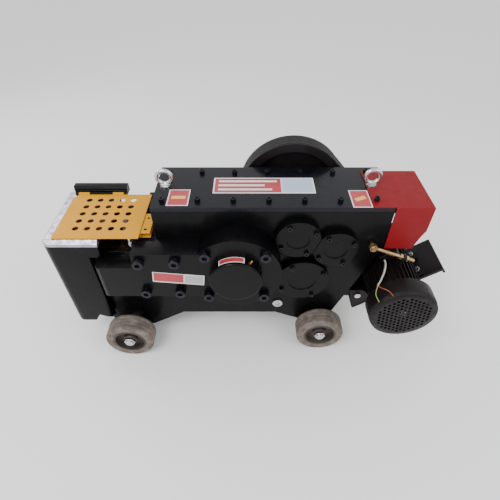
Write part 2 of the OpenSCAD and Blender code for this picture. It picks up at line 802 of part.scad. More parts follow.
// Connecting rod, held parallel to itself as the crank turns
module connecting_rod() color("#77777d") difference() {
    union() {
        bar(ecc_p, ecc_r + rod_ring, [-rod_half, rod_half]);
        across([-rod_web_half, rod_web_half]) polygon([
            wrist_p + [0, rod_eye_r], ecc_p + [0, ecc_r], ecc_p - [0, ecc_r], wrist_p - [0, rod_eye_r]
        ]);
        bar(wrist_p, rod_eye_r, [-rod_web_half, rod_web_half]);
    }
    bar(ecc_p, ecc_r + fit_gap, [-rod_half - over, rod_half + over]);
    bar(wrist_p, wrist_r + fit_gap, [-rod_half - over, rod_half + over]);
}
module wrist_pin() color("#a9a9ae") bar(wrist_p, wrist_r, [-wrist_half, wrist_half]);

// Ram: a square slide with a forked tail that the wrist pin floats in and a post for the blade
fork_y = rod_web_half + fork_gap;
fork_front_x = wrist_p[0] - rod_eye_r - stroke - fork_gap;
module ram() color("#8e8e94") difference() {
    union() {
        block([ram_front_x, ram_rear_x], [-ram_w / 2, ram_w / 2], [ram_low_z, ram_top_z]);
        block([ram_front_x, ram_front_x + post_l], [-blade_t - post_t, -blade_t], [ram_low_z, blade_low_z + blade_h]);
    }
    block([ram_front_x - over, moving_edge_x + pocket_l], [-blade_t, over], [blade_low_z, ram_top_z + over]);
    block([fork_front_x, ram_rear_x + over], [-fork_y, fork_y], [ram_low_z - over, ram_top_z + over]);
    block([wrist_p[0] - wrist_r - stroke - fork_gap, ram_rear_x + over], [-wrist_half - fork_gap, wrist_half + fork_gap],
        [crank_z - crank_throw - wrist_r - fork_gap, crank_z + crank_throw + wrist_r + fork_gap]);
    translate([moving_edge_x + blade_l / 2, -blade_t + over, blade_low_z + blade_h / 2]) rotate([90, 0, 0])
        cylinder(r = blade_screw_r + seat_gap, h = blade_screw_l);
}

// Blades, each with its screw as a separate solid
module blade(edge_x, side) {
    x = side < 0 ? [edge_x, edge_x + blade_l] : [edge_x - blade_l, edge_x];
    y = side < 0 ? [-blade_t, 0] : [blade_gap, blade_gap + blade_t];
    mid = [(x[0] + x[1]) / 2, side < 0 ? 0 : blade_gap, blade_low_z + blade_h / 2];
    difference() {
        block(x, y, [blade_low_z, blade_low_z + blade_h]);
        translate(mid) rotate([side * -90, 0, 0]) {
            translate([0, 0, -over]) cylinder(r = blade_screw_head_r + seat_gap, h = blade_screw_head_h + over);
            cylinder(r = blade_screw_r + seat_gap, h = blade_t + over);
        }
    }
    translate(mid) rotate([side * 90, 0, 0]) translate([0, 0, -blade_screw_head_h])
        socket_screw(blade_screw_head_r, blade_screw_head_h - over, blade_screw_r, blade_screw_l - blade_screw_head_h - over);
}
module moving_blade() color("#9fa3a8") blade(moving_edge_x, -1);
module fixed_blade() color("#9fa3a8") blade(fixed_edge_x, 1);

// Shafts: bearing seats at the ends, a thicker body and a pinion in one piece with it
module plain_shaft(p, seat_r, body_r, y) {
    bar(p, seat_r, [-body_y + shaft_end, body_y - shaft_end]);
    bar(p, body_r, [-inner_y + shaft_step, inner_y - shaft_step]);
}
module input_shaft() color("#85858b") {
    plain_shaft(input_p, bearing_r, bearing_r + shaft_step);
    gear_body(input_module, input_teeth, input_phase, input_p, input_pinion_y);
    bar(input_p, bearing_r, [inner_y, flywheel_y + flywheel_w + flywheel_hub_out]);
    bar(input_p, shaft_thread_r, [flywheel_y + flywheel_w, flywheel_y + flywheel_w + flywheel_hub_out + shaft_thread_l]);
    difference() {
        translate([input_p[0], flywheel_y + flywheel_w + flywheel_hub_out, input_p[1]]) rotate([-90, 0, 0])
            hexagon(shaft_nut_r, shaft_nut_h);
        bar(input_p, shaft_thread_r + fit_gap, [flywheel_y, flywheel_y + 2 * flywheel_w]);
    }
}
module second_shaft() color("#85858b") {
    plain_shaft(second_p, bearing_r, bearing_r + shaft_step);
    gear_body(second_module, second_teeth, second_phase, second_p, second_pinion_y);
}
module second_gear() color("#6f6f75")
    webbed_gear(input_module, second_gear_teeth, second_gear_phase, second_p, second_gear_y, bearing_r + shaft_step);
module third_shaft() color("#85858b") {
    plain_shaft(third_p, third_bearing_r, third_bearing_r + third_body_step);
    gear_body(third_module, third_teeth, third_phase, third_p, third_pinion_y);
}
module third_gear() color("#6f6f75")
    webbed_gear(second_module, third_gear_teeth, third_gear_phase, third_p, third_gear_y, third_bearing_r + third_body_step);

// Ball bearings drawn as rings with a shield groove on each side
module bearing(p, r, out_r, y) {
    third = (out_r - r) / 3;
    turned(p) polygon([
        [r + fit_gap, y[0]], [r + third, y[0]], [r + third, y[0] + shaft_end], [out_r - third, y[0] + shaft_end],
        [out_r - third, y[0]], [out_r, y[0]], [out_r, y[1]], [out_r - third, y[1]],
        [out_r - third, y[1] - shaft_end], [r + third, y[1] - shaft_end], [r + third, y[1]], [r + fit_gap, y[1]]
    ]);
}
module shaft_bearings() color("#b9bcc2") for (b = bearing_list) {
    bearing(b[0], b[1], b[2], [-body_y, -inner_y]);
    bearing(b[0], b[1], b[2], [inner_y, body_y]);
}

// Bearing caps: the two small ones have flats where they meet
cap_r = bearing_out_r + cap_margin;
third_cap_r = third_bearing_out_r + third_cap_margin;
// Caps: place, radius, screw circle, direction of the flat and its distance
cap_list = [
    [input_p, cap_r, cap_pcd, input_angle + 180, input_centres / 2 - cap_split_gap / 2],
    [second_p, cap_r, cap_pcd, input_angle, input_centres / 2 - cap_split_gap / 2],
    [third_p, third_cap_r, third_cap_pcd, 0, third_cap_r]
];
module cap_outline(c) translate(c[0]) difference() {
    circle(c[1]);
    rotate(c[3]) translate([c[4], -c[1]]) square([c[1], 2 * c[1]]);
}
module bearing_caps() color("#1c1c21") {
    for (c = cap_list) difference() {
        across([-body_y - front_cap_h, -body_y]) cap_outline(c);
        bar(c[0], c[1] / 2, [-body_y - front_cap_h - over, -body_y - front_cap_h + cap_dish]);
        bar(c[0], c[1] / 2, [-body_y - front_cap_h / 2, -body_y + over]);
        for (p = cap_points(c[0], c[2])) bar(p, cap_screw_r + seat_gap, [-body_y - front_cap_h - over, -body_y + over]);
    }
    for (c = cap_list) difference() {
        across([body_y, body_y + rear_cap_h]) cap_outline(c);
        if (c[0] == input_p) bar(c[0], bearing_r + seal_gap, [body_y - over, body_y + rear_cap_h + over]);
        for (p = cap_points(c[0], c[2])) {
            bar(p, cap_screw_r + seat_gap, [body_y - over, body_y + rear_cap_h + over]);
            bar(p, cap_head_r + seat_gap, [body_y + rear_cap_h - cap_head_h, body_y + rear_cap_h + over]);
        }
    }
    bar(crank_p, crank_cap_r, [body_y, body_y + rear_cap_h]);
}
module cap_screws() color("#4a4a50") for (p = all_cap_points()) {
    translate([p[0], -body_y - front_cap_h, p[1]]) rotate([90, 0, 0])
        socket_screw(cap_head_r, cap_head_h, cap_screw_r, front_cap_h + cap_screw_in);
    translate([p[0], body_y + rear_cap_h - cap_head_h, p[1]]) rotate([-90, 0, 0])
        socket_screw(cap_head_r, cap_head_h, cap_screw_r, rear_cap_h - cap_head_h + cap_screw_in);
}
module drain_plug() color("#c9c9cc") translate([plug_p[0], -body_y, plug_p[1]]) rotate([90, 0, 0])
    socket_screw(plug_head_r, plug_head_h, plug_r, plug_l);

// Flywheel with belt grooves in its rim
function belt_y(i) = flywheel_y + flywheel_w / 2 + (i - (belt_count - 1) / 2) * belt_pitch;
module groove(r, y) polygon([
    [r + over, y - belt_w / 2 - belt_gap - over / 3], [r + over, y + belt_w / 2 + belt_gap + over / 3],
    [r - belt_h - groove_floor, y + belt_bottom_w / 2], [r - belt_h - groove_floor, y - belt_bottom_w / 2]
]);
module flywheel() color("#241d1c") turned(input_p) difference() {
    polygon([
        [bearing_r + fit_gap, flywheel_y], [flywheel_hub_r, flywheel_y],
        [flywheel_hub_r, flywheel_y + (flywheel_w - flywheel_web) / 2],
        [flywheel_r - flywheel_rim, flywheel_y + (flywheel_w - flywheel_web) / 2],
        [flywheel_r - flywheel_rim, flywheel_y], [flywheel_r, flywheel_y], [flywheel_r, flywheel_y + flywheel_w],
        [flywheel_r - flywheel_rim, flywheel_y + flywheel_w],
        [flywheel_r - flywheel_rim, flywheel_y + (flywheel_w + flywheel_web) / 2],
        [flywheel_hub_r, flywheel_y + (flywheel_w + flywheel_web) / 2],
        [flywheel_hub_r, flywheel_y + flywheel_w + flywheel_hub_out],
        [bearing_r + fit_gap, flywheel_y + flywheel_w + flywheel_hub_out]
    ]);
    for (i = [0:belt_count - 1]) groove(flywheel_r, belt_y(i));
}
module motor_pulley() color("#241d1c") turned(motor_p) difference() {
    polygon([
        [motor_shaft_r + fit_gap, stator_y[1] + shield_t + shaft_end], [pulley_hub_r, stator_y[1] + shield_t + shaft_end],
        [pulley_hub_r, flywheel_y], [pulley_r, flywheel_y], [pulley_r, flywheel_y + flywheel_w],
        [motor_shaft_r + fit_gap, flywheel_y + flywheel_w]
    ]);
    for (i = [0:belt_count - 1]) groove(pulley_r, belt_y(i));
}

// Belts: each has two arcs and two straight runs that meet end to end
belt_axis = motor_p - input_p;
belt_span = norm(belt_axis);
belt_line = atan2(belt_axis[1], belt_axis[0]);
belt_half = acos((flywheel_r - pulley_r) / belt_span);
belt_run = sqrt(belt_span * belt_span - (flywheel_r - pulley_r) * (flywheel_r - pulley_r));
module belt_section(r, y) polygon([
    [r + belt_proud, y - belt_w / 2], [r + belt_proud, y + belt_w / 2],
    [r - belt_h, y + belt_bottom_w / 2 - belt_gap], [r - belt_h, y - belt_bottom_w / 2 + belt_gap]
]);
module belt(y) {
    translate([input_p[0], 0, input_p[1]]) rotate([90, 0, 0]) {
        rotate([0, 0, belt_line + belt_half]) rotate_extrude(angle = 360 - 2 * belt_half) belt_section(flywheel_r, -y);
        rotate([0, 0, belt_line + belt_half]) rotate([90, 0, 0]) linear_extrude(belt_run) belt_section(flywheel_r, -y);
        rotate([0, 0, belt_line - belt_half]) translate([0, belt_run, 0]) rotate([90, 0, 0])
            linear_extrude(belt_run) belt_section(flywheel_r, -y);
    }
    translate([motor_p[0], 0, motor_p[1]]) rotate([90, 0, 0]) rotate([0, 0, belt_line - belt_half])
        rotate_extrude(angle = 2 * belt_half) belt_section(pulley_r, -y);
}
module drive_belts() color("#101010") for (i = [0:belt_count - 1]) belt(belt_y(i));

// Motor
module motor_bar(r, y) rotate([-90, 0, 0]) translate([0, 0, y[0]]) cylinder(r = r, h = y[1] - y[0]);
module motor_turned() rotate([-90, 0, 0]) rotate_extrude() children();
lug_at = lug_along / cos(rod_slope);
module stator_frame() color("#2b2422") motor_space() difference() {
    union() {
        across(stator_y) {
            circle(stator_core_r);
            for (i = [0:fin_count - 1]) rotate(i * 360 / fin_count)
                translate([stator_core_r - fin_t, -fin_t / 2]) square([fin_r - stator_core_r + fin_t, fin_t]);
        }
        for (y = foot_y, s = [0, 1]) mirror([s, 0, 0]) {
            block([foot_in, foot_out], y, [-motor_axis_h, -motor_axis_h + foot_t]);
            block([foot_in, foot_in + foot_web_t], y, [-motor_axis_h, -foot_web_t]);
        }
        in_body() rod_line() translate([0, 0, lug_at - lug_t / 2]) {
            cylinder(r = lug_w / 2, h = lug_t);
            block([0, lug_l], [-lug_w / 2, lug_w / 2], [0, lug_t]);
        }
    }
    motor_bar(stator_bore_r, [stator_y[0] - over, stator_y[1] + over]);
    for (y = foot_y, s = [-1, 1]) translate([s * foot_u, (y[0] + y[1]) / 2, -motor_axis_h - over])
        cylinder(r = foot_screw_r + seat_gap, h = foot_t + 2 * over);
    in_body() rod_line() translate([0, 0, lug_at - lug_t]) cylinder(r = rod_r + seat_gap, h = 2 * lug_t);
}
rod_along = (rod_end_x - rod_start[0]) / cos(rod_slope);
module rod_line() translate([rod_start[0], rod_y, rod_start[1]]) rotate([0, 90 - rod_slope, 0]) children();
module motor_end_shields() color("#2b2422") motor_space() motor_turned() {
    polygon([
        [motor_shaft_r + 2 * shaft_step + fit_gap, stator_y[1]], [fin_r, stator_y[1]], [fin_r, stator_y[1] + shield_t / 2],
        [fin_r - shield_t, stator_y[1] + shield_t - shield_step], [shield_boss_r, stator_y[1] + shield_t - shield_step],
        [shield_boss_r, stator_y[1] + shield_t], [motor_shaft_r + 2 * shaft_step + fit_gap, stator_y[1] + shield_t]
    ]);
    polygon([
        [motor_shaft_r + fit_gap, stator_y[0] - shield_t], [shield_boss_r, stator_y[0] - shield_t],
        [shield_boss_r, stator_y[0] - fan_flange_t], [fan_cover_r - fan_cover_t - slide_gap, stator_y[0] - fan_flange_t],
        [fan_cover_r - fan_cover_t - slide_gap, stator_y[0]], [motor_shaft_r + fit_gap, stator_y[0]]
    ]);
}
module rotor_shaft() color("#85858b") motor_space() motor_turned() polygon([
    [0, fan_y[0]], [motor_shaft_r, fan_y[0]], [motor_shaft_r, rotor_y[0]], [rotor_r, rotor_y[0]],
    [rotor_r, rotor_y[1]], [motor_shaft_r + 2 * shaft_step, rotor_y[1]],
    [motor_shaft_r + 2 * shaft_step, stator_y[1] + shield_t + shaft_end / 2],
    [motor_shaft_r, stator_y[1] + shield_t + shaft_end / 2],
    [motor_shaft_r, flywheel_y + flywheel_w - shaft_end], [0, flywheel_y + flywheel_w - shaft_end]
]);
module motor_fan() color("#1e1e1e") motor_space() difference() {
    across(fan_y) {
        circle(fan_hub_r);
        for (i = [0:fan_blades - 1]) rotate(i * 360 / fan_blades) translate([0, -fan_blade_t / 2])
            square([fan_r, fan_blade_t]);
    }
    motor_bar(motor_shaft_r + fit_gap, [fan_y[0] - over, fan_y[1] + over]);
}
// Places of the fan cover's holes, on a hexagon grid
function fan_holes() = [
    for (i = [-fan_hole_rings:fan_hole_rings]) for (j = [-fan_hole_rings:fan_hole_rings])
        let (p = [(i + j / 2) * fan_hole_pitch, j * fan_hole_pitch * sin(60)])
            if (norm(p) < fan_cover_r - fan_hole_pitch - fan_hole_r) p
];
module fan_cover() color("#2b2422") motor_space() difference() {
    motor_turned() polygon([
        [0, fan_cover_y[0]], [fan_cover_r - 3 * fan_cover_t, fan_cover_y[0]],
        [fan_cover_r, fan_cover_y[0] + 3 * fan_cover_t], [fan_cover_r, fan_cover_y[1]],
        [fan_cover_r - fan_cover_t, fan_cover_y[1]], [fan_cover_r - fan_cover_t, fan_cover_y[0] + 4 * fan_cover_t],
        [fan_cover_r - 4 * fan_cover_t, fan_cover_y[0] + fan_cover_t], [0, fan_cover_y[0] + fan_cover_t]
    ]);
    for (p = fan_holes()) translate([p[0], fan_cover_y[0] - over, p[1]]) rotate([-90, 0, 0])
        cylinder(r = fan_hole_r, h = fan_cover_t + 2 * over);
}
module terminal_box() color("#2b2422") motor_space() {
    difference() {
        block(box_u, box_y, [fin_r / 2, box_top_v]);
        motor_bar(fin_r + seat_gap, [box_y[0] - over, box_y[1] + over]);
    }
    block([box_u[0] - box_lid_t, box_u[1] + box_lid_t], [box_y[0] - box_lid_t, box_y[1] + box_lid_t],
        [box_top_v, box_top_v + box_lid_t]);
    translate([gland_u, box_y[0], gland_v]) rotate([90, 0, 0]) hexagon(gland_r, gland_h);
}

// Motor plate with a turned-down lip, cheeks at its lower end and pivot bolts
plate_end_u = motor_plate_end_u - motor_plate_l;
function motor_to_body(u, v) = motor_p + [u * cos(plate_angle) - v * sin(plate_angle), u * sin(plate_angle) + v * cos(plate_angle)];
module motor_plate() color("#241f20") difference() {
    union() {
        motor_space() {
            block([plate_end_u, motor_plate_end_u], motor_plate_y, [-motor_axis_h - motor_plate_t, -motor_axis_h]);
            block([motor_plate_end_u - lip_t, motor_plate_end_u], motor_plate_y,
                [-motor_axis_h - lip_h, -motor_axis_h - motor_plate_t]);
        }
        for (y = [[motor_plate_y[0], motor_plate_y[0] + cheek_t], [motor_plate_y[1] - cheek_t, motor_plate_y[1]]])
            across(y) polygon([
                motor_to_body(plate_end_u, -motor_axis_h - motor_plate_t / 2),
                motor_to_body(plate_end_u + motor_plate_l / 4, -motor_axis_h - motor_plate_t / 2),
                [pivot_p[0] + wall_lug_r, cheek_top_z], [pivot_p[0] - 2 * wall_lug_r, cheek_top_z]
            ]);
    }
    bar(pivot_p, pivot_r + seat_gap, [motor_plate_y[0] - over, motor_plate_y[1] + over]);
    motor_space() for (y = foot_y, s = [-1, 1])
        translate([s * foot_u, (y[0] + y[1]) / 2, -motor_axis_h - motor_plate_t - over])
            cylinder(r = foot_screw_r + seat_gap, h = motor_plate_t + 2 * over);
}
module motor_bolts() color("#9a9aa0") {
    for (s = [-1, 1]) {
        face = s < 0 ? motor_plate_y[0] : motor_plate_y[1];
        translate([pivot_p[0], face, pivot_p[1]]) rotate([s * -90, 0, 0]) {
            hexagon(pivot_head_r, pivot_head_h);
            translate([0, 0, -cheek_t - wall_lug_t]) cylinder(r = pivot_r, h = cheek_t + wall_lug_t);
        }
    }
    motor_space() for (y = foot_y, s = [-1, 1]) translate([s * foot_u, (y[0] + y[1]) / 2, -motor_axis_h + foot_t]) {
        hexagon(2 * foot_screw_r, cap_head_h);
        translate([0, 0, -foot_t - motor_plate_t]) cylinder(r = foot_screw_r, h = foot_t + motor_plate_t);
    }
}

// Tension rod: an eye on a stud of the side plate, the rod and a nut on each side of the motor's lug
module tension_rod() color("#c8a24a") {
    bar(rod_start, rod_stud_r, [rod_y - rod_eye_t, -inner_y]);
    difference() {
        union() {
            bar(rod_start, rod_eye_out, [rod_y - rod_eye_t / 2, rod_y + rod_eye_t / 2]);
            rod_line() cylinder(r = rod_r, h = rod_along);
        }
        bar(rod_start, rod_stud_r + fit_gap, [rod_y - rod_eye_t, rod_y + rod_eye_t]);
    }
    rod_line() for (a = [lug_at - lug_t / 2 - rod_nut_h - slide_gap, lug_at + lug_t / 2 + slide_gap])
        translate([0, 0, a]) difference() {
            hexagon(rod_nut_r, rod_nut_h);
            translate([0, 0, -over]) cylinder(r = rod_r + fit_gap, h = rod_nut_h + 2 * over);
        }
}

// A tube swept along a route, with each ring square to the route
function unit(v) = v / norm(v);
function route_dir(r, i) = unit(r[min(i + 1, len(r) - 1)] - r[max(i - 1, 0)]);
function route_side(r, i) = i == 0 ? unit(cross(route_dir(r, 0), [0, 0, 1]))
    : let (s = route_side(r, i - 1), d = route_dir(r, i)) unit(s - (s * d) * d);
module tube(route, r, sides) polyhedron(
    points = [
        for (i = [0:len(route) - 1])
            let (d = route_dir(route, i), s = route_side(route, i), t = cross(d, s))
                for (j = [0:sides - 1]) route[i] + r * (cos(j * 360 / sides) * s + sin(j * 360 / sides) * t)
    ],
    faces = [
        for (j = [1:sides - 2]) [0, j + 1, j],
        for (j = [1:sides - 2]) let (b = (len(route) - 1) * sides) [b, b + j, b + j + 1],
        for (i = [0:len(route) - 2]) for (j = [0:sides - 1])
            let (a = i * sides + j, b = i * sides + (j + 1) % sides) each [[a, b, b + sides], [a, b + sides, a + sides]]
    ]
);
module motor_lead() color("#d9d4cc") {
    tube(lead_route, lead_r, lead_sides);
    tube(green_route, core_r, lead_sides);
    tube(red_route, core_r, lead_sides);
}

// Mouth guard on a hinge pin along its rear edge
guard_x = [-guard_left, -guard_left + guard_l];
function knuckle_starts() = [guard_x[0] + hinge_lug_t + slide_gap, hinge_bar[0][1] - hinge_lug_t - knuckle_l - slide_gap];
module mouth_guard() color("#d8a63e") difference() {
    union() {
        linear_at(guard_z, guard_t) difference() {
            polygon([
                [guard_x[0], guard_front_y], [guard_x[1], guard_front_y], [guard_x[1], guard_axis_y - knuckle_r - over],
                [guard_x[0] + guard_corner, guard_axis_y - knuckle_r - over],
                [guard_x[0], guard_axis_y - knuckle_r - guard_corner]
            ]);
            for (i = [0:guard_holes - 1], j = [0:guard_holes - 1])
                translate([guard_grid[0] + (i - (guard_holes - 1) / 2) * guard_pitch,
                    guard_grid[1] + (j - (guard_holes - 1) / 2) * guard_pitch]) circle(guard_hole_r);
        }
        block([guard_x[0], guard_x[0] + guard_t], [guard_front_y, guard_axis_y - 2 * guard_corner],
            [head_top_z + guard_lip_gap, guard_z]);
        for (x = knuckle_starts()) {
            translate([x, guard_axis_y, guard_axis_z]) rotate([0, 90, 0]) cylinder(r = knuckle_r, h = knuckle_l);
            block([x, x + knuckle_l], [guard_axis_y - guard_corner, guard_axis_y], [guard_z, guard_z + guard_t]);
        }
    }
    translate([guard_x[0] - over, guard_axis_y, guard_axis_z]) rotate([0, 90, 0])
        cylinder(r = hinge_pin_r + fit_gap, h = guard_l + 2 * over);
}
module linear_at(z, h) translate([0, 0, z]) linear_extrude(h) children();

// Ribbed hinge bar on the head's rear edge, with lugs that hold the pin
module guard_hinge() color("#121215") {
    difference() {
        union() {
            block(hinge_bar[0], hinge_bar[1], [head_top_z, hinge_bar[2] - hinge_bar_edge]);
            block(hinge_bar[0], [hinge_bar[1][0] + hinge_bar_edge, hinge_bar[1][1] - hinge_bar_edge],
                [hinge_bar[2] - 2 * hinge_bar_edge, hinge_bar[2]]);
            for (y = [hinge_bar[1][0] + hinge_bar_edge, hinge_bar[1][1] - hinge_bar_edge])
                translate([hinge_bar[0][0], y, hinge_bar[2] - hinge_bar_edge]) rotate([0, 90, 0])
                    cylinder(r = hinge_bar_edge, h = hinge_bar[0][1] - hinge_bar[0][0]);
            for (x = [guard_x[0], hinge_bar[0][1] - hinge_lug_t]) {
                block([x, x + hinge_lug_t], [guard_axis_y, hinge_bar[1][0] + over], [head_top_z, guard_axis_z + knuckle_r]);
                translate([x, guard_axis_y, guard_axis_z]) rotate([0, 90, 0]) cylinder(r = knuckle_r, h = hinge_lug_t);
            }
        }
        for (i = [1:3]) translate([hinge_bar[0][0] - over, hinge_bar[1][0], head_top_z + i * hinge_bar_edge])
            rotate([0, 90, 0]) cylinder(r = hinge_rib_r, h = hinge_bar[0][1] - hinge_bar[0][0] + 2 * over);
        translate([guard_x[0] - over, guard_axis_y, guard_axis_z]) rotate([0, 90, 0])
            cylinder(r = hinge_pin_r + fit_gap, h = guard_l);
    }
    translate([guard_x[0], guard_axis_y, guard_axis_z]) rotate([0, 90, 0])
        cylinder(r = hinge_pin_r, h = hinge_bar[0][1] - guard_x[0]);
}
module guard_rest() color("#d8a63e") difference() {
    union() {
        block([-mouth_right, rest_x[1]], rest_y, [step_z, step_z + guard_t]);
        block([rest_x[0], rest_x[0] + guard_t], rest_y, [step_z, guard_z - guard_lip_gap]);
        block([rest_x[0], rest_x[1]], rest_y, [guard_z - guard_t - guard_lip_gap, guard_z - guard_lip_gap]);
    }
    for (i = [0:1]) translate([(rest_x[0] + rest_x[1]) / 2, rest_y[0] + guard_pitch / 2 + i * guard_pitch * 3 / 2, step_z])
        cylinder(r = guard_hole_r / 2, h = 2 * guard_z - 2 * step_z);
}
module guard_latch() color("#d6d6da") translate([latch_p[0], latch_p[1] + latch_knob_r, guard_z]) {
    translate([0, 0, -latch_h]) cylinder(r = latch_r, h = latch_h);
    translate([0, 0, -latch_h]) cylinder(r1 = latch_r / 2, r2 = latch_knob_r, h = latch_knob_h / 2);
    translate([0, 0, -latch_h + latch_knob_h / 2]) cylinder(r = latch_knob_r, h = latch_knob_h);
}

// Wheels: a steel hub and a rubber tyre each, on two axles
hub_r = wheel_r - tyre_t;
module hub(p, y0) turned(p) polygon([
    [axle_r + fit_gap, y0], [hub_boss_r, y0], [hub_boss_r, y0 + (wheel_w - hub_web_t) / 2],
    [hub_r - rim_wall, y0 + (wheel_w - hub_web_t) / 2], [hub_r - rim_wall, y0], [hub_r, y0], [hub_r, y0 + wheel_w],
    [hub_r - rim_wall, y0 + wheel_w], [hub_r - rim_wall, y0 + (wheel_w + hub_web_t) / 2],
    [hub_boss_r, y0 + (wheel_w + hub_web_t) / 2], [hub_boss_r, y0 + wheel_w - hub_recess],
    [axle_r + fit_gap, y0 + wheel_w - hub_recess]
]);
module tyre(p, y0) turned(p) polygon([
    [hub_r + fit_gap, y0], [wheel_r - tyre_edge, y0], [wheel_r, y0 + tyre_edge], [wheel_r, y0 + wheel_w - tyre_edge],
    [wheel_r - tyre_edge, y0 + wheel_w], [hub_r + fit_gap, y0 + wheel_w]
]);
left_p = [-left_axle, axle_z];
right_p = [right_axle, axle_z];
module front_left_hub() color("#4a4038") mirror([0, 1, 0]) hub(left_p, left_wheel_y);
module rear_left_hub() color("#4a4038") hub(left_p, left_wheel_y);
module front_right_hub() color("#4a4038") mirror([0, 1, 0]) hub(right_p, right_wheel_y);
module rear_right_hub() color("#4a4038") hub(right_p, right_wheel_y);
module front_left_tyre() color("#5f5952") mirror([0, 1, 0]) tyre(left_p, left_wheel_y);
module rear_left_tyre() color("#5f5952") tyre(left_p, left_wheel_y);
module front_right_tyre() color("#5f5952") mirror([0, 1, 0]) tyre(right_p, right_wheel_y);
module rear_right_tyre() color("#5f5952") tyre(right_p, right_wheel_y);
module half_axle_trim(p, y0) {
    difference() {
        bar(p, axle_collar_r, [body_y + slide_gap, y0 - slide_gap]);
        bar(p, axle_r + fit_gap, [body_y, y0]);
    }
    difference() {
        translate([p[0], y0 + wheel_w - hub_recess + slide_gap, p[1]]) rotate([-90, 0, 0]) hexagon(axle_nut_r, axle_nut_h);
        bar(p, axle_r + fit_gap, [y0, y0 + 2 * wheel_w]);
    }
}
module axle(p, y0) {
    bar(p, axle_r, [-y0 - wheel_w - axle_out, y0 + wheel_w + axle_out]);
    half_axle_trim(p, y0);
    mirror([0, 1, 0]) half_axle_trim(p, y0);
}
module wheel_axles() color("#b4b4b8") {
    axle(left_p, left_wheel_y);
    axle(right_p, right_wheel_y);
}

placed() front_side_plate();
placed() rear_side_plate();
placed() floor_plate();
placed() slant_wall();
placed() ram_guide();
placed() top_cover();
placed() cover_bolts();
placed() eye_bolts();
placed() rear_hood();
placed() jaw_head();
placed() head_plate();
placed() front_housing();
placed() rear_housing();
placed() housing_bolts();
placed() crank_cap();
placed() grease_nipple();
placed() crank_bushes();
placed() crankshaft();
placed() crank_gear();
placed() connecting_rod();
placed() wrist_pin();
placed() ram();
placed() ram_liners();
placed() moving_blade();
placed() fixed_blade();
placed() input_shaft();
placed() second_shaft();
placed() second_gear();
placed() third_shaft();
placed() third_gear();
placed() shaft_bearings();
placed() bearing_caps();
placed() cap_screws();
placed() drain_plug();
placed() flywheel();
placed() drive_belts();
placed() motor_pulley();
placed() stator_frame();
placed() motor_end_shields();
placed() rotor_shaft();
placed() motor_fan();
placed() fan_cover();
placed() terminal_box();
placed() motor_plate();
placed() motor_bolts();
placed() tension_rod();
placed() motor_lead();
placed() mouth_guard();
placed() guard_hinge();
placed() guard_latch();
placed() guard_rest();
placed() wheel_axles();
placed() front_left_hub();
placed() front_left_tyre();
placed() rear_left_hub();
placed() rear_left_tyre();
placed() front_right_hub();
placed() front_right_tyre();
placed() rear_right_hub();
placed() rear_right_tyre();
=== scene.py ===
import json
from math import cos, pi, radians, sin

import bmesh
import bpy
from mathutils import Matrix, Vector


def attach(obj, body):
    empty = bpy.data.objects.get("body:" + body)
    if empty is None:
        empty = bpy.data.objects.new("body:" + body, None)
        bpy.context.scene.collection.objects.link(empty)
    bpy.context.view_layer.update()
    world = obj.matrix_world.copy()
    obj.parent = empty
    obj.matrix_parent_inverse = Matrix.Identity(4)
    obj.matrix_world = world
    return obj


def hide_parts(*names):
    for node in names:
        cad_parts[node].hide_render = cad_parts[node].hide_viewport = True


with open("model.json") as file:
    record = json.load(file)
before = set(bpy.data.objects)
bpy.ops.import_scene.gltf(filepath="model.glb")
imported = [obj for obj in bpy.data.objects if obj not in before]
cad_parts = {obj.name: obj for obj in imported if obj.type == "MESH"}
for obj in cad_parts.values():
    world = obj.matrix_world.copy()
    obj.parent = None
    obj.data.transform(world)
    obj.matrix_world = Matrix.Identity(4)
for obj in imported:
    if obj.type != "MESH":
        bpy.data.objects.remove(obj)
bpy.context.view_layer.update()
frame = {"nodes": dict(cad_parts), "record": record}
scene = bpy.context.scene

MM = 0.001
# The crank's axis and the middle of the body's width in the row frame, in millimetres
CRANK_X = -64.39337
CRANK_Z = 444
MIDDLE_Y = 27.5


def at(x, y, z):
    """A place in millimetres from the crank, the machine's middle and the ground, in the row frame."""
    return Vector(((x + CRANK_X) * MM, (y + MIDDLE_Y) * MM, z * MM))


# Camera at the photograph's angle
camera_data = bpy.data.cameras.new("Camera")
camera_data.sensor_width = 36.0
camera_data.lens = 27.216
camera = bpy.data.objects.new("Camera", camera_data)
camera.location = at(47, -1059, 1381)
camera.rotation_euler = (radians(46.4), 0, 0)
scene.collection.objects.link(camera)
scene.camera = camera


# Materials
def linear(code):
    """An sRGB hex colour as linear red, green, blue and alpha."""
    parts = [int(code[i:i + 2], 16) / 255 for i in (1, 3, 5)]
    return tuple(v / 12.92 if v <= 0.04045 else ((v + 0.055) / 1.055) ** 2.4 for v in parts) + (1.0,)


def add(tree, kind, links=None, **settings):
    """Adds a node with its settings and its inputs, each a socket or a plain value, and gives its output."""
    node = tree.nodes.new("ShaderNode" + kind)
    for name, value in settings.items():
        setattr(node, name, value)
    for name, value in (links or {}).items():
        if isinstance(value, bpy.types.NodeSocket):
            tree.links.new(value, node.inputs[name])
        else:
            node.inputs[name].default_value = value
    return node.outputs[2] if kind == "Mix" else node.outputs[0]


def per_metre(size_mm):
    """Scale of a pattern whose grains are this many millimetres across."""
    return 1000.0 / size_mm


def begin(name):
    """A new material, its tree, the place on the object in metres, and its shader."""
    made = bpy.data.materials.new(name)
    made.use_nodes = True
    tree = made.node_tree
    tree.nodes.clear()
    place = tree.nodes.new("ShaderNodeTexCoord").outputs["Object"]
    shader = tree.nodes.new("ShaderNodeBsdfPrincipled")
    tree.links.new(shader.outputs[0], tree.nodes.new("ShaderNodeOutputMaterial").inputs["Surface"])
    return made, tree, place, shader


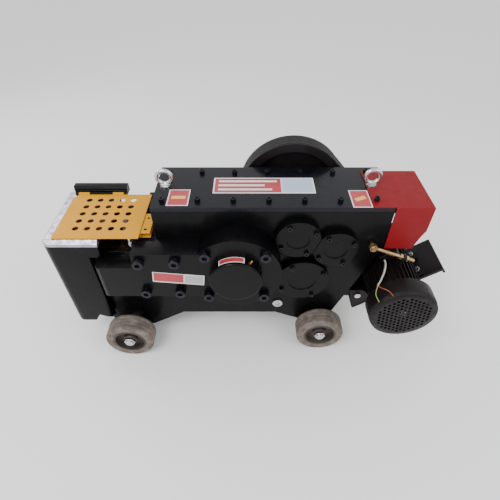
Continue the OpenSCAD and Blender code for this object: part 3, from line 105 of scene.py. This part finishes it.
def enamel(name, colour, dusty, roughness, dust=0.25, coat=0.3, peel=0.12, shine=0.5):
    """Sprayed paint or printed film: orange peel 2 mm across, dust in patches, faint handling scuffs."""
    made, tree, place, shader = begin(name)
    patches = add(tree, "TexNoise", {"Vector": place, "Scale": per_metre(90), "Detail": 4})
    specks = add(tree, "TexNoise", {"Vector": place, "Scale": per_metre(2.2), "Detail": 2, "Roughness": 0.7})
    drawn = add(tree, "Mapping", {"Vector": place, "Scale": (1.0, 1.0, 0.25)})
    scuffs = add(tree, "TexNoise", {"Vector": drawn, "Scale": per_metre(14), "Detail": 5, "Roughness": 0.7})
    patches = add(tree, "MapRange", {0: patches, 1: 0.42, 2: 0.75, 3: 0.0, 4: dust})
    specks = add(tree, "MapRange", {0: specks, 1: 0.35, 2: 0.75, 3: 0.15, 4: 1.0})
    scuffs = add(tree, "MapRange", {0: scuffs, 1: 0.66, 2: 0.78, 3: 0.0, 4: 0.35 * dust})
    share = add(tree, "Math", {0: patches, 1: specks, 2: scuffs}, operation="MULTIPLY_ADD", use_clamp=True)
    shade = add(tree, "Mix", {0: share, 6: linear(colour), 7: linear(dusty)}, data_type="RGBA")
    tree.links.new(shade, shader.inputs["Base Color"])
    cloud = add(tree, "TexNoise", {"Vector": place, "Scale": per_metre(28), "Detail": 3})
    rough = add(tree, "MapRange", {0: cloud, 1: 0.3, 2: 0.7, 3: roughness - 0.06, 4: roughness + 0.1})
    rough = add(tree, "Math", {0: rough, 1: share}, operation="ADD", use_clamp=True)
    tree.links.new(rough, shader.inputs["Roughness"])
    orange = add(tree, "TexNoise", {"Vector": place, "Scale": per_metre(2.0), "Detail": 1.5})
    bump = add(tree, "Bump", {"Height": orange, "Strength": peel, "Distance": 0.0003})
    tree.links.new(bump, shader.inputs["Normal"])
    shader.inputs["Coat Weight"].default_value = coat
    shader.inputs["Coat Roughness"].default_value = 0.12
    shader.inputs["Specular IOR Level"].default_value = shine
    return made


def metal(name, colour, stain, roughness, marks_mm=0.8, stretch=None, stained=0.35, depth=0.15):
    """Bare or plated metal: fine tool marks, roughness that varies, and stains in patches."""
    made, tree, place, shader = begin(name)
    shader.inputs["Metallic"].default_value = 1.0
    drawn = add(tree, "Mapping", {"Vector": place, "Scale": stretch or (1.0, 1.0, 1.0)})
    marks = add(tree, "TexNoise", {"Vector": drawn, "Scale": per_metre(marks_mm), "Detail": 3,
                                   "Roughness": 0.6})
    stains = add(tree, "TexNoise", {"Vector": place, "Scale": per_metre(22), "Detail": 5, "Roughness": 0.65})
    stains = add(tree, "MapRange", {0: stains, 1: 0.48, 2: 0.74, 3: 0.0, 4: stained})
    shade = add(tree, "Mix", {0: stains, 6: linear(colour), 7: linear(stain)}, data_type="RGBA")
    tree.links.new(shade, shader.inputs["Base Color"])
    rough = add(tree, "MapRange", {0: marks, 1: 0.3, 2: 0.7, 3: roughness - 0.08, 4: roughness + 0.1})
    rough = add(tree, "Math", {0: rough, 1: stains}, operation="ADD", use_clamp=True)
    tree.links.new(rough, shader.inputs["Roughness"])
    bump = add(tree, "Bump", {"Height": marks, "Strength": depth, "Distance": 0.0002})
    tree.links.new(bump, shader.inputs["Normal"])
    return made


def moulded(name, colour, worn, roughness, grain_mm=1.2, wear=0.5, depth=0.3, shine=0.4):
    """Rubber or plastic: matt grain, with pale dust and wear in patches."""
    made, tree, place, shader = begin(name)
    patches = add(tree, "TexNoise", {"Vector": place, "Scale": per_metre(35), "Detail": 5, "Roughness": 0.7})
    patches = add(tree, "MapRange", {0: patches, 1: 0.4, 2: 0.7, 3: 0.0, 4: wear})
    shade = add(tree, "Mix", {0: patches, 6: linear(colour), 7: linear(worn)}, data_type="RGBA")
    tree.links.new(shade, shader.inputs["Base Color"])
    cloud = add(tree, "TexNoise", {"Vector": place, "Scale": per_metre(9), "Detail": 3})
    rough = add(tree, "MapRange", {0: cloud, 1: 0.3, 2: 0.7, 3: roughness - 0.08, 4: roughness + 0.08})
    tree.links.new(rough, shader.inputs["Roughness"])
    grain = add(tree, "TexNoise", {"Vector": place, "Scale": per_metre(grain_mm), "Detail": 3})
    bump = add(tree, "Bump", {"Height": grain, "Strength": depth, "Distance": 0.0003})
    tree.links.new(bump, shader.inputs["Normal"])
    shader.inputs["Specular IOR Level"].default_value = shine
    return made


# Gloss black alkyd enamel on plate and castings: near black, soft highlights, faint dust
black_enamel = enamel("black_enamel", "#060608", "#201d1e", 0.3, dust=0.22, coat=0.06, shine=0.12)
# The top cover is the glossiest plate and looks slightly blue
cover_enamel = enamel("cover_enamel", "#090a12", "#24242c", 0.26, dust=0.2, coat=0.12, shine=0.18)
# Red powder coat on sheet steel: even, satin
red_powder = enamel("red_powder_coat", "#78060f", "#8c2c34", 0.42, dust=0.15, coat=0.02, peel=0.2, shine=0.2)
# Yellow powder coat on sheet steel
yellow_powder = enamel("yellow_powder_coat", "#cc8e06", "#a8781c", 0.45, dust=0.2, coat=0.02, peel=0.2,
                       shine=0.25)
# Dark brown primer enamel on the motor and its plate
motor_enamel = enamel("motor_enamel", "#120d0e", "#2a2222", 0.4, dust=0.35, coat=0.05, shine=0.18)
# Turned and painted cast iron of the flywheel
wheel_iron = enamel("flywheel_enamel", "#151112", "#2b2527", 0.34, dust=0.3, coat=0.1, shine=0.22)
# Painted cast hubs with road dust
hub_iron = enamel("hub_enamel", "#38302c", "#6a625a", 0.5, dust=0.8, coat=0.0, shine=0.4)
# Milled and ground steel of the head's top: fine lines along X
ground_steel = metal("ground_steel", "#b9b3c2", "#80767c", 0.3, 0.7, (0.12, 1.0, 1.0), 0.5, 0.25)
# Bright zinc plate on eye bolts, nuts and pins
bright_zinc = metal("bright_zinc", "#cfcdd0", "#8f8a86", 0.2, 1.4, None, 0.35, 0.12)
# Yellow passivated zinc on the tension rod
yellow_zinc = metal("yellow_zinc", "#c2a479", "#8f6f52", 0.34, 1.2, None, 0.6, 0.2)
# Black oxide on high-tensile screws
black_oxide = metal("black_oxide", "#34343a", "#1d1c1e", 0.34, 1.0, None, 0.5, 0.15)
# Turned and ground shafts, ram and rod, lightly oiled
turned_steel = metal("turned_steel", "#96969c", "#5e5a56", 0.26, 0.6, (1.0, 0.15, 1.0), 0.4, 0.15)
# Hobbed gears with dark oil
gear_steel = metal("gear_steel", "#6e6e74", "#3a3632", 0.34, 0.8, None, 0.6, 0.2)
# Hardened blade steel
blade_steel = metal("blade_steel", "#8e9296", "#59534e", 0.3, 0.6, (1.0, 1.0, 0.15), 0.4, 0.2)
# Polished bearing rings
ring_steel = metal("bearing_steel", "#b8bac0", "#8a8a8c", 0.14, 0.8, None, 0.2, 0.08)
# Turned bronze of bushes and liners, stained by oil
bronze = metal("bronze", "#a67c3e", "#6b4a28", 0.3, 0.8, None, 0.5, 0.15)
# Turned brass of the grease nipple
brass = metal("brass", "#c79a4a", "#8a6230", 0.28, 0.8, None, 0.3, 0.12)
# Moulded rubber of the tyres: matt grey brown under pale dust
tyre_rubber = moulded("tyre_rubber", "#5b524c", "#8d8279", 0.8, 1.6, 0.75, 0.5, 0.3)
# Vulcanised rubber of the belts
belt_rubber = moulded("belt_rubber", "#141414", "#2a2726", 0.75, 0.9, 0.4, 0.4)
# Moulded polypropylene of the fan
fan_plastic = moulded("fan_polypropylene", "#161616", "#2a2a2a", 0.55, 1.2, 0.3, 0.2)
# Soft PVC sheath and the two core colours
sheath_pvc = moulded("sheath_pvc", "#b9b4b0", "#8b8580", 0.5, 1.0, 0.4, 0.15)
green_pvc = moulded("green_core_pvc", "#a8b36a", "#c9c38a", 0.5, 1.0, 0.4, 0.1)
red_pvc = moulded("red_core_pvc", "#b4503c", "#c97a5a", 0.5, 1.0, 0.4, 0.1)
# Printed vinyl film of the plain labels: white, red, pale blue, yellow and silver, all slightly dusty
vinyl_white = enamel("vinyl_film_white", "#d9d6d8", "#a9a5a6", 0.4, dust=0.5, coat=0.0, peel=0.05)
vinyl_red = enamel("vinyl_film_red", "#a8323c", "#b87074", 0.4, dust=0.5, coat=0.0, peel=0.05)
vinyl_blue = enamel("vinyl_film_blue", "#a9b6cc", "#c4c8d2", 0.4, dust=0.5, coat=0.0, peel=0.05)
vinyl_yellow = enamel("vinyl_film_yellow", "#d8b455", "#c9ac72", 0.4, dust=0.5, coat=0.0, peel=0.05)
vinyl_silver = enamel("vinyl_film_silver", "#a6a4aa", "#8a8688", 0.4, dust=0.5, coat=0.0, peel=0.05)

FINISHES = {
    "black_paint": black_enamel, "red_paint": red_powder, "yellow_paint": yellow_powder,
    "motor_paint": motor_enamel, "ground_steel": ground_steel, "bright_steel": bright_zinc,
    "dark_steel": black_oxide, "machined_steel": turned_steel, "gear_steel": gear_steel,
    "blade_steel": blade_steel, "bearing_steel": ring_steel, "flywheel_iron": wheel_iron,
    "hub_iron": hub_iron, "bronze": bronze, "brass": brass, "yellow_zinc": yellow_zinc,
    "belt_rubber": belt_rubber, "tyre": tyre_rubber, "black_plastic": fan_plastic,
    "lead_sheath": sheath_pvc,
}
SLOT_OF = {entry["node"]: entry["material_slot"] for entry in frame["record"]["subparts"]}
BODY_OF = {node: body for body, nodes in frame["record"]["behaviour"]["bodies"].items() for node in nodes}
for name, node in frame["nodes"].items():
    node.data.materials.clear()
    node.data.materials.append(FINISHES[SLOT_OF[name]])

# The motor's loose lead: a sheath that ends in two bare cores, as in the photograph
LEAD = [
    (516, -130, 447), (516, -138, 447), (515, -147, 447), (512, -158, 445), (508, -170, 442),
    (502, -183, 436), (494, -197, 430), (486, -210, 426), (479, -219, 423), (475, -226, 422),
]
GREEN = [
    (475, -226, 422), (471, -234, 418), (467, -242, 415), (464, -252, 413), (463, -262, 412),
    (464, -275, 413), (466, -288, 414),
]
RED = [
    (475, -226, 422), (477, -236, 428), (482, -247, 434), (488, -258, 441), (495, -269, 445),
    (502, -288, 447),
]


def loose_lead(name, route, radius_mm, finish):
    """A cord swept along a smooth curve through a route's points."""
    points = [at(*p) for p in route]
    smooth = []
    for i in range(len(points) - 1):
        before, start, end, after = (points[max(i - 1, 0)], points[i], points[i + 1],
                                     points[min(i + 2, len(points) - 1)])
        for step in range(4):
            t = step / 4
            smooth.append(0.5 * (2 * start + (end - before) * t
                                 + (2 * before - 5 * start + 4 * end - after) * t * t
                                 + (3 * start - before - 3 * end + after) * t ** 3))
    smooth.append(points[-1])
    curve = bpy.data.curves.new(name, "CURVE")
    curve.dimensions = "3D"
    curve.bevel_depth = radius_mm * MM
    curve.bevel_resolution = 3
    curve.use_fill_caps = True
    line = curve.splines.new("POLY")
    line.points.add(len(smooth) - 1)
    for point, place in zip(line.points, smooth):
        point.co = (*place, 1.0)
    curve.materials.append(finish)
    made = bpy.data.objects.new(name, curve)
    scene.collection.objects.link(made)
    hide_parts("motor_lead")
    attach(made, "frame")


loose_lead("lead_sheath", LEAD, 3.0, sheath_pvc)
loose_lead("lead_core_green", GREEN, 1.2, green_pvc)
loose_lead("lead_core_red", RED, 1.2, red_pvc)


# Making pieces
def piece(name, shape, finish, body, stands_for=(), smooth=32):
    """Turns a bmesh into an object that rides on a body, and frees the bmesh."""
    bmesh.ops.remove_doubles(shape, verts=shape.verts, dist=1e-6)
    bmesh.ops.recalc_face_normals(shape, faces=shape.faces)
    mesh = bpy.data.meshes.new(name)
    shape.to_mesh(mesh)
    shape.free()
    mesh.polygons.foreach_set("use_smooth", [True] * len(mesh.polygons))
    mesh.set_sharp_from_angle(angle=radians(smooth))
    mesh.materials.append(finish)
    made = bpy.data.objects.new(name, mesh)
    scene.collection.objects.link(made)
    if stands_for:
        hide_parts(*stands_for)
    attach(made, body)
    return made


def merged(node):
    """A CAD node's mesh as a bmesh with its loose triangles joined, and flat faces made one."""
    shape = bmesh.new()
    shape.from_mesh(frame["nodes"][node].data)
    bmesh.ops.remove_doubles(shape, verts=shape.verts, dist=1e-6)
    bmesh.ops.dissolve_limit(shape, angle_limit=radians(0.5), verts=shape.verts, edges=shape.edges)
    return shape


def eased(node, width_mm, finish=None):
    """A copy of a CAD node with its sharp edges eased, in place of the node."""
    slot = SLOT_OF[node]
    made = piece("eased_" + node, merged(node), finish or FINISHES[slot], BODY_OF[node], [node])
    bevel = made.modifiers.new("Eased edges", "BEVEL")
    bevel.width = width_mm * MM
    bevel.segments = 2
    bevel.limit_method = "ANGLE"
    bevel.angle_limit = radians(35)
    bevel.harden_normals = True
    bevel.use_clamp_overlap = False
    return made


def turned_profile(points, steps, to_place):
    """A closed ring turned from a profile of radius and height round Z, then moved to its place."""
    shape = bmesh.new()
    verts = [shape.verts.new((r * MM, 0, h * MM)) for r, h in points]
    edges = [shape.edges.new(pair) for pair in zip(verts, verts[1:] + verts[:1])]
    bmesh.ops.spin(shape, geom=verts + edges, cent=(0, 0, 0), axis=(0, 0, 1), angle=2 * pi, steps=steps,
                   use_merge=True)
    bmesh.ops.transform(shape, matrix=to_place, verts=shape.verts)
    return shape


def arc(r, h, radius, start, end, steps=5):
    """Points of a rounded corner in a profile, from one angle to the other in degrees."""
    return [(r + radius * cos(radians(start + (end - start) * i / steps)),
             h + radius * sin(radians(start + (end - start) * i / steps))) for i in range(steps + 1)]


# Plates, castings, caps, sheet parts and screws with their edges eased, in millimetres
EASED = {
    "front_side_plate": 1.5, "rear_side_plate": 1.5, "slant_wall": 1.0, "jaw_head": 2.0, "head_plate": 2.0,
    "front_housing": 0.8, "rear_housing": 2.5, "crank_cap": 2.0, "bearing_caps": 1.5, "guard_hinge": 0.8,
    "motor_plate": 1.5, "terminal_box": 2.0, "flywheel": 1.5, "rear_hood": 0.8, "guard_rest": 0.8,
    "mouth_guard": 0.7, "housing_bolts": 1.4, "cover_bolts": 0.9, "cap_screws": 0.9, "drain_plug": 1.2,
    "wheel_axles": 1.0, "stator_frame": 0.6, "motor_end_shields": 1.0, "guard_latch": 0.7,
    "tension_rod": 0.7, "motor_bolts": 0.9, "motor_pulley": 1.0, "ram": 1.0, "moving_blade": 0.5,
    "fixed_blade": 0.5, "front_left_hub": 1.5, "rear_left_hub": 1.5, "front_right_hub": 1.5,
    "rear_right_hub": 1.5,
}
for name, width in EASED.items():
    eased(name, width)
eased("top_cover", 1.5, cover_enamel)

# Tyres: rounded shoulders and three shallow grooves worn into the tread
WHEEL_R = 92.5
WHEEL_W = 68.0
HUB_R = 62.6
GROOVE_DEEP = 1.6
GROOVE_WIDE = 4.0
GROOVE_PITCH = 16.0
SHOULDER = 9.0
LIP_DEEP = 2
LIP_WIDE = 3
FLAT_WIDE = 6
half = WHEEL_W / 2
wall_r = WHEEL_R - SHOULDER
tread = [(WHEEL_R + r * GROOVE_DEEP, middle + h * GROOVE_WIDE)
         for middle in (-GROOVE_PITCH, 0.0, GROOVE_PITCH)
         for h, r in ((-0.75, 0.0), (-0.4, -1.0), (0.4, -1.0), (0.75, 0.0))]
tyre_profile = ([(HUB_R, -half + LIP_DEEP), (HUB_R + LIP_WIDE, -half), (wall_r - FLAT_WIDE, -half)]
                + arc(wall_r, -half + SHOULDER, SHOULDER, -90, 0) + tread
                + arc(wall_r, half - SHOULDER, SHOULDER, 0, 90)
                + [(wall_r - FLAT_WIDE, half), (HUB_R + LIP_WIDE, half), (HUB_R, half - LIP_DEEP)])
for corner, x, y in (("left", -426, 163), ("right", 325, 134)):
    for row, side in (("front", -1), ("rear", 1)):
        place = Matrix.Translation(at(x, side * (y + half), WHEEL_R)) @ Matrix.Rotation(pi / 2, 4, "X")
        name = f"{row}_{corner}_tyre"
        piece("moulded_" + name, turned_profile(tyre_profile, 96, place), tyre_rubber,
              f"{row}_{corner}_wheel", [name])

# Thread on the tension rod, drawn at twice its real pitch so that it shows
ROD_START = (459, -140, 516)
ROD_TILT = 111.9
THREAD_PITCH = 3.0
THREAD_FIRST = 20.0
THREAD_TURNS = 47
THREAD_CORE = 5.0
THREAD_ROOT = 6.0
THREAD_TIP = 6.7
thread = [(THREAD_CORE, THREAD_FIRST)]
for i in range(THREAD_TURNS):
    h = THREAD_FIRST + i * THREAD_PITCH
    thread += [(THREAD_ROOT, h), (THREAD_TIP, h + THREAD_PITCH / 2)]
thread_end = THREAD_FIRST + THREAD_TURNS * THREAD_PITCH
thread += [(THREAD_ROOT, thread_end), (THREAD_CORE, thread_end)]
place = Matrix.Translation(at(*ROD_START)) @ Matrix.Rotation(radians(ROD_TILT), 4, "Y")
piece("rod_thread", turned_profile(thread, 20, place), yellow_zinc, "frame", smooth=60)

# Fan cover with the wide rounded rim of a pressed shell
MOTOR_X = 563
MOTOR_Z = 347
cover = merged("fan_cover")
axis = at(MOTOR_X, 0, MOTOR_Z)


def round_axis(vert):
    """A vertex's distance from the motor's axis and its place along it, in millimetres."""
    return Vector((vert.co.x - axis.x, vert.co.z - axis.z)).length / MM, vert.co.y / MM - MIDDLE_Y


# Radius and place of each ring of the CAD rim, outside then inside, and where it is drawn to
RIM_FACE = (99.5, -294)
RIM_SIDE = (113, -280)
RIM = {(107, -294): RIM_FACE, (113, -288): RIM_SIDE, (105, -292): (98.6, -292), (111, -286): (111, -279)}
RIM_ROUND = 6
for vert in cover.verts:
    here = round_axis(vert)
    for (r, y), (new_r, new_y) in RIM.items():
        if abs(here[0] - r) < 0.3 and abs(here[1] - y) < 0.3:
            out = Vector((vert.co.x - axis.x, 0, vert.co.z - axis.z)).normalized() * new_r * MM
            vert.co = (axis.x + out.x, (new_y + MIDDLE_Y) * MM, axis.z + out.z)
            break
rim_edges = [edge for edge in cover.edges for r, y in (RIM_FACE, RIM_SIDE)
             if all(abs(round_axis(v)[0] - r) < 0.2 and abs(round_axis(v)[1] - y) < 0.2 for v in edge.verts)]
bmesh.ops.bevel(cover, geom=rim_edges, offset=RIM_ROUND * MM, offset_type="OFFSET", affect="EDGES",
                segments=4, profile=0.5, material=-1, clamp_overlap=True)
piece("pressed_fan_cover", cover, motor_enamel, "frame", ["fan_cover"])


# Plain labels of thin vinyl, one sheet on another
def film(name, x, y, z, finish, turn=0.0):
    """A thin sheet between two corners, turned in degrees about its middle, across the thinnest way."""
    low, high = at(x[0], y[0], z[0]), at(x[1], y[1], z[1])
    size = high - low
    shape = bmesh.new()
    bmesh.ops.create_cube(shape, size=1.0)
    thin = min(range(3), key=lambda i: size[i])
    place = (Matrix.Translation((low + high) / 2) @ Matrix.Rotation(radians(turn), 4, "XYZ"[thin])
             @ Matrix.Diagonal((*size, 1.0)))
    bmesh.ops.transform(shape, matrix=place, verts=shape.verts)
    return piece(name, shape, finish, "frame")


TOP = 666.0
FILM = 0.4
film("top_label_white", (-75, 262), (-41, 50), (TOP, TOP + FILM), vinyl_white)
film("top_label_red", (-70, 150), (-36, 45), (TOP, TOP + 2 * FILM), vinyl_red)
film("top_label_blue", (154, 257), (-36, 45), (TOP, TOP + 2 * FILM), vinyl_blue)
for i, right in enumerate((138, 96, 120)):
    middle = 28 - 24 * i
    film(f"top_label_bar_{i}", (-58, right), (middle - 5, middle + 5), (TOP, TOP + 3 * FILM), vinyl_white)
for corner, x, y, turn in (("left", (-217, -148), (-108, -20), 0.0),
                           ("right", (369, 431), (-117, -24), 24.0)):
    film(f"{corner}_label_white", x, y, (TOP, TOP + FILM), vinyl_white)
    film(f"{corner}_label_red", (x[0] + 4, x[1] - 4), (y[0] + 4, y[1] - 4), (TOP, TOP + 2 * FILM), vinyl_red)
    middle = (y[0] + y[1]) / 2
    film(f"{corner}_label_band", (x[0] + 12, x[1] - 12), (middle - 8, middle + 8), (TOP, TOP + 3 * FILM),
         vinyl_yellow, turn)
FACE = -199.0
FRONT_TURN = 6.2
film("front_label_white", (-282, -108), (FACE - FILM, FACE), (404, 452), vinyl_white, turn=FRONT_TURN)
film("front_label_red", (-278, -178), (FACE - 2 * FILM, FACE), (413, 453), vinyl_red, FRONT_TURN)
film("front_label_silver", (-174, -112), (FACE - 2 * FILM, FACE), (403, 442), vinyl_silver,
     FRONT_TURN)

# Curved label on the crown of the crank's cap, between two angles from the top
CAP_R = 88.0
for name, finish, slot, r, y, first, last in (
        ("cap_label_white", vinyl_white, "lead_sheath", CAP_R + 0.3, (-223, -200), -38, 20),
        ("cap_label_red", vinyl_red, "red_paint", CAP_R + 0.6, (-220, -203), -35, 17)):
    shape = bmesh.new()
    verts = [shape.verts.new(at(sin(radians(first)) * c, d, CRANK_Z + cos(radians(first)) * c))
             for c, d in ((CAP_R - 1, y[0]), (r, y[0]), (r, y[1]), (CAP_R - 1, y[1]))]
    bmesh.ops.spin(shape, geom=[shape.faces.new(verts)], cent=at(0, 0, CRANK_Z), axis=(0, 1, 0),
                   angle=radians(last - first), steps=24)
    piece(name, shape, finish, "frame")

# Floor, backdrop and lights, in metres
FLOOR_HALF = 12
floor_mesh = bmesh.new()
bmesh.ops.create_grid(floor_mesh, x_segments=1, y_segments=1, size=FLOOR_HALF)
floor_data = bpy.data.meshes.new("floor")
floor_mesh.to_mesh(floor_data)
floor_mesh.free()
floor = bpy.data.objects.new("floor", floor_data)
scene.collection.objects.link(floor)
floor_paint, _, _, floor_shader = begin("floor_paint")
floor_shader.inputs["Base Color"].default_value = linear("#f4f4f4")
floor_shader.inputs["Roughness"].default_value = 0.9
floor_shader.inputs["Specular IOR Level"].default_value = 0.1
floor_data.materials.append(floor_paint)

world = bpy.data.worlds.new("World")
scene.world = world
world.use_nodes = True
world.node_tree.nodes["Background"].inputs[0].default_value = (1, 1, 1, 1)
world.node_tree.nodes["Background"].inputs[1].default_value = 1.2


def softbox(name, place, aim, width, depth, power):
    """A soft rectangular lamp that is aimed at a place, with its sides in metres and its power in watts."""
    light = bpy.data.lights.new(name, "AREA")
    light.shape = "RECTANGLE"
    light.size = width
    light.size_y = depth
    light.energy = power
    holder = bpy.data.objects.new(name, light)
    holder.location = place
    holder.rotation_euler = (Vector(aim) - Vector(place)).to_track_quat("-Z", "Y").to_euler()
    scene.collection.objects.link(holder)


softbox("key", (-1.2, -1.6, 2.6), (0, 0, 0.4), 1.2, 1.2, 46)
softbox("fill", (1.8, -1.2, 2.0), (0, 0, 0.3), 1.6, 1.6, 20)
softbox("rim", (-2.4, 1.6, 1.9), (0, 0, 0.5), 1.4, 0.8, 24)
